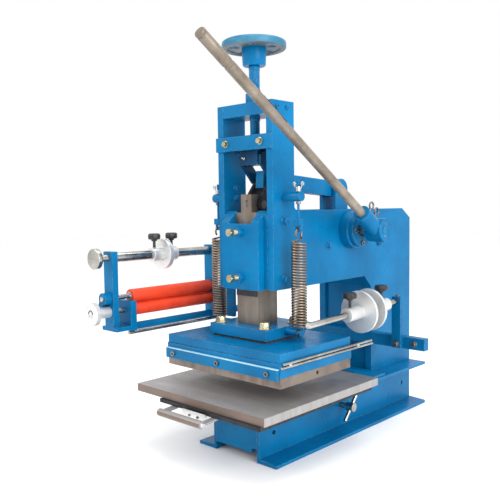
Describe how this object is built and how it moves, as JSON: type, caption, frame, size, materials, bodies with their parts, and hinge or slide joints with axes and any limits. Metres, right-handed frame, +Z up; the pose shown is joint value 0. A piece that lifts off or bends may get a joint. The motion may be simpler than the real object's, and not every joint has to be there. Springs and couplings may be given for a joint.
{
  "type": "hot foil stamper",
  "caption": "Hand-lever hot foil stamping press: toggle-driven heated head over a sliding table, foil supply shaft and rewind rollers.",
  "frame": {"origin": "centre of the machine's bounding box in plan, on the floor the base channels stand on", "axes": "+Z up, -Y towards the operator at the front, +X towards the side that carries the hand lever"},
  "size_m": [0.4462, 0.7463, 0.797],
  "materials": {
    "blue_paint": "semi-gloss",
    "dark_steel": "satin",
    "grey_steel": "satin",
    "worn_steel": "worn satin",
    "platen_steel": "heat-tinted satin",
    "polished_steel": "polished",
    "aluminium": "turned",
    "roller_rubber": "satin",
    "black_plastic": "satin"
  },
  "bodies": {
    "frame": {"base_channel_left": "blue_paint", "base_channel_right": "blue_paint", "base_front_plate": "blue_paint", "side_frame_left": "blue_paint", "side_frame_right": "blue_paint", "post_front_plate": "blue_paint", "column_top_plate": "blue_paint", "ram_guide_left": "blue_paint", "ram_guide_right": "blue_paint", "rear_guide_plate": "blue_paint", "front_cover": "blue_paint", "shaft_housing": "blue_paint", "rear_crossbar": "blue_paint", "supply_arm": "blue_paint", "supply_shaft": "polished_steel", "rewind_front_bracket": "blue_paint", "rewind_rear_bracket": "blue_paint", "table_bed": "blue_paint", "spring_hanger_left": "blue_paint", "spring_hanger_right": "blue_paint", "spring_left": "dark_steel", "spring_right": "dark_steel"},
    "slider": {"slider_block": "blue_paint", "slider_clamp_bar": "blue_paint"},
    "screw": {"adjusting_screw": "blue_paint", "handwheel": "blue_paint"},
    "lock_nut": {"screw_lock_nut": "blue_paint"},
    "upper_link": {"upper_link": "blue_paint"},
    "lower_link": {"lower_link_left": "dark_steel", "lower_link_right": "dark_steel", "mid_pin": "polished_steel"},
    "ram": {"ram": "polished_steel", "ram_flange": "blue_paint", "head_cover": "blue_paint", "head_frame": "blue_paint", "heating_plate": "platen_steel", "foil_guide_rod": "polished_steel"},
    "crank": {"crank_fork": "blue_paint", "main_shaft": "polished_steel", "handle_hub": "blue_paint", "handle_bar": "worn_steel"},
    "connecting_rod": {"connecting_rod": "blue_paint"},
    "table": {"worktable": "grey_steel", "table_carriage": "dark_steel", "table_handle": "grey_steel"},
    "clamp_screw": {"clamp_screw": "polished_steel"},
    "wing_nut_left": {"wing_nut_left": "dark_steel"},
    "wing_nut_right": {"wing_nut_right": "dark_steel"},
    "supply_disc_front": {"supply_disc_front": "aluminium"},
    "supply_disc_rear": {"supply_disc_rear": "aluminium"},
    "supply_knob_front": {"supply_knob_front": "black_plastic"},
    "supply_knob_rear": {"supply_knob_rear": "black_plastic"},
    "rewind_shaft": {"rewind_shaft": "polished_steel"},
    "rewind_disc": {"rewind_disc": "aluminium"},
    "rewind_knob_front": {"rewind_knob_front": "black_plastic"},
    "rewind_knob_rear": {"rewind_knob_rear": "black_plastic"},
    "nip_lower": {"nip_roller_lower": "roller_rubber", "drive_knob": "aluminium"},
    "nip_upper": {"nip_roller_upper": "roller_rubber"},
    "pressure_lever": {"pressure_lever": "blue_paint"}
  },
  "joints": [
    {"name": "handle", "type": "hinge", "parent": "frame", "child": "crank", "pos_m": [0.00885, 0.12364, 0.4255], "axis": [1, 0, 0], "range_deg": [0, 19.57], "stiffness_Nm_per_rad": 60, "springref_deg": -45.84},
    {"name": "slider_height", "type": "slide", "parent": "frame", "child": "slider", "axis": [0, 0, 1], "range_m": [0, 0.004]},
    {"name": "handwheel_turn", "type": "hinge", "parent": "slider", "child": "screw", "pos_m": [0.00885, -0.09276, 0.7], "axis": [0, 0, 1], "range_deg": [0, 576]},
    {"name": "lock_nut_turn", "type": "hinge", "parent": "frame", "child": "lock_nut", "pos_m": [0.00885, -0.09276, 0.686], "axis": [0, 0, 1], "range_deg": [0, 360]},
    {"name": "upper_link_pivot", "type": "hinge", "parent": "slider", "child": "upper_link", "pos_m": [0.00885, -0.09276, 0.576], "axis": [1, 0, 0], "range_deg": [-33.5, 0.5]},
    {"name": "lower_link_pivot", "type": "hinge", "parent": "upper_link", "child": "lower_link", "pos_m": [0.00885, -0.04987, 0.5285], "axis": [1, 0, 0], "range_deg": [-0.5, 66]},
    {"name": "ram_pivot", "type": "hinge", "parent": "lower_link", "child": "ram", "pos_m": [0.00885, -0.09276, 0.481], "axis": [1, 0, 0], "range_deg": [-33.5, 0.5], "deforming": ["spring_left", "spring_right"]},
    {"name": "rod_pivot", "type": "hinge", "parent": "crank", "child": "connecting_rod", "pos_m": [0.00885, 0.16464, 0.5136], "axis": [1, 0, 0], "range_deg": [-14, 0.5]},
    {"name": "table_slide", "type": "slide", "parent": "frame", "child": "table", "axis": [0, -1, 0], "range_m": [0, 0.1]},
    {"name": "clamp_screw_turn", "type": "hinge", "parent": "frame", "child": "clamp_screw", "pos_m": [0.10885, 0.08564, 0.053], "axis": [1, 0, 0], "range_deg": [0, 360]},
    {"name": "wing_nut_left_turn", "type": "hinge", "parent": "frame", "child": "wing_nut_left", "pos_m": [-0.09865, -0.09276, 0.51], "axis": [0, 0, 1], "range_deg": [0, 720]},
    {"name": "wing_nut_right_turn", "type": "hinge", "parent": "frame", "child": "wing_nut_right", "pos_m": [0.11635, -0.09276, 0.51], "axis": [0, 0, 1], "range_deg": [0, 720]},
    {"name": "supply_disc_front_slide", "type": "slide", "parent": "frame", "child": "supply_disc_front", "axis": [0, 0.9994, 0.0349], "range_m": [-0.012, 0.012]},
    {"name": "supply_disc_rear_slide", "type": "slide", "parent": "frame", "child": "supply_disc_rear", "axis": [0, 0.9994, 0.0349], "range_m": [-0.012, 0.03]},
    {"name": "supply_knob_front_turn", "type": "hinge", "parent": "supply_disc_front", "child": "supply_knob_front", "pos_m": [0.16385, 0.00475, 0.26586], "axis": [0, -0.0349, 0.9994], "range_deg": [0, 720]},
    {"name": "supply_knob_rear_turn", "type": "hinge", "parent": "supply_disc_rear", "child": "supply_knob_rear", "pos_m": [0.16385, 0.11668, 0.26977], "axis": [0, -0.0349, 0.9994], "range_deg": [0, 720]},
    {"name": "rewind_shaft_turn", "type": "hinge", "parent": "frame", "child": "rewind_shaft", "pos_m": [-0.19115, -0.17136, 0.3805], "axis": [0, 1, 0], "continuous": true},
    {"name": "rewind_disc_slide", "type": "slide", "parent": "rewind_shaft", "child": "rewind_disc", "axis": [0, 1, 0], "range_m": [-0.05, 0.06]},
    {"name": "rewind_knob_front_turn", "type": "hinge", "parent": "rewind_disc", "child": "rewind_knob_front", "pos_m": [-0.19115, -0.19036, 0.415], "axis": [0, 0, 1], "range_deg": [0, 720]},
    {"name": "rewind_knob_rear_turn", "type": "hinge", "parent": "rewind_disc", "child": "rewind_knob_rear", "pos_m": [-0.19115, -0.14436, 0.415], "axis": [0, 0, 1], "range_deg": [0, 720]},
    {"name": "nip_lower_turn", "type": "hinge", "parent": "frame", "child": "nip_lower", "pos_m": [-0.19115, -0.17136, 0.274], "axis": [0, 1, 0], "continuous": true},
    {"name": "nip_upper_turn", "type": "hinge", "parent": "frame", "child": "nip_upper", "pos_m": [-0.19115, -0.17136, 0.301], "axis": [0, 1, 0], "continuous": true},
    {"name": "pressure_lever_turn", "type": "hinge", "parent": "frame", "child": "pressure_lever", "pos_m": [-0.19115, -0.31336, 0.301], "axis": [0, 1, 0], "range_deg": [0, 35]}
  ],
  "couplings": [
    {"joint": "slider_height", "follows": "handwheel_turn", "m_per_rad": 0.00039789},
    {"joint": "upper_link_pivot", "follows": "handle", "ratio": -1.6585},
    {"joint": "lower_link_pivot", "follows": "handle", "ratio": 3.317},
    {"joint": "ram_pivot", "follows": "handle", "ratio": -1.6585},
    {"joint": "rod_pivot", "follows": "handle", "ratio": -0.6705},
    {"joint": "nip_upper_turn", "follows": "nip_lower_turn", "ratio": -1}
  ]
}
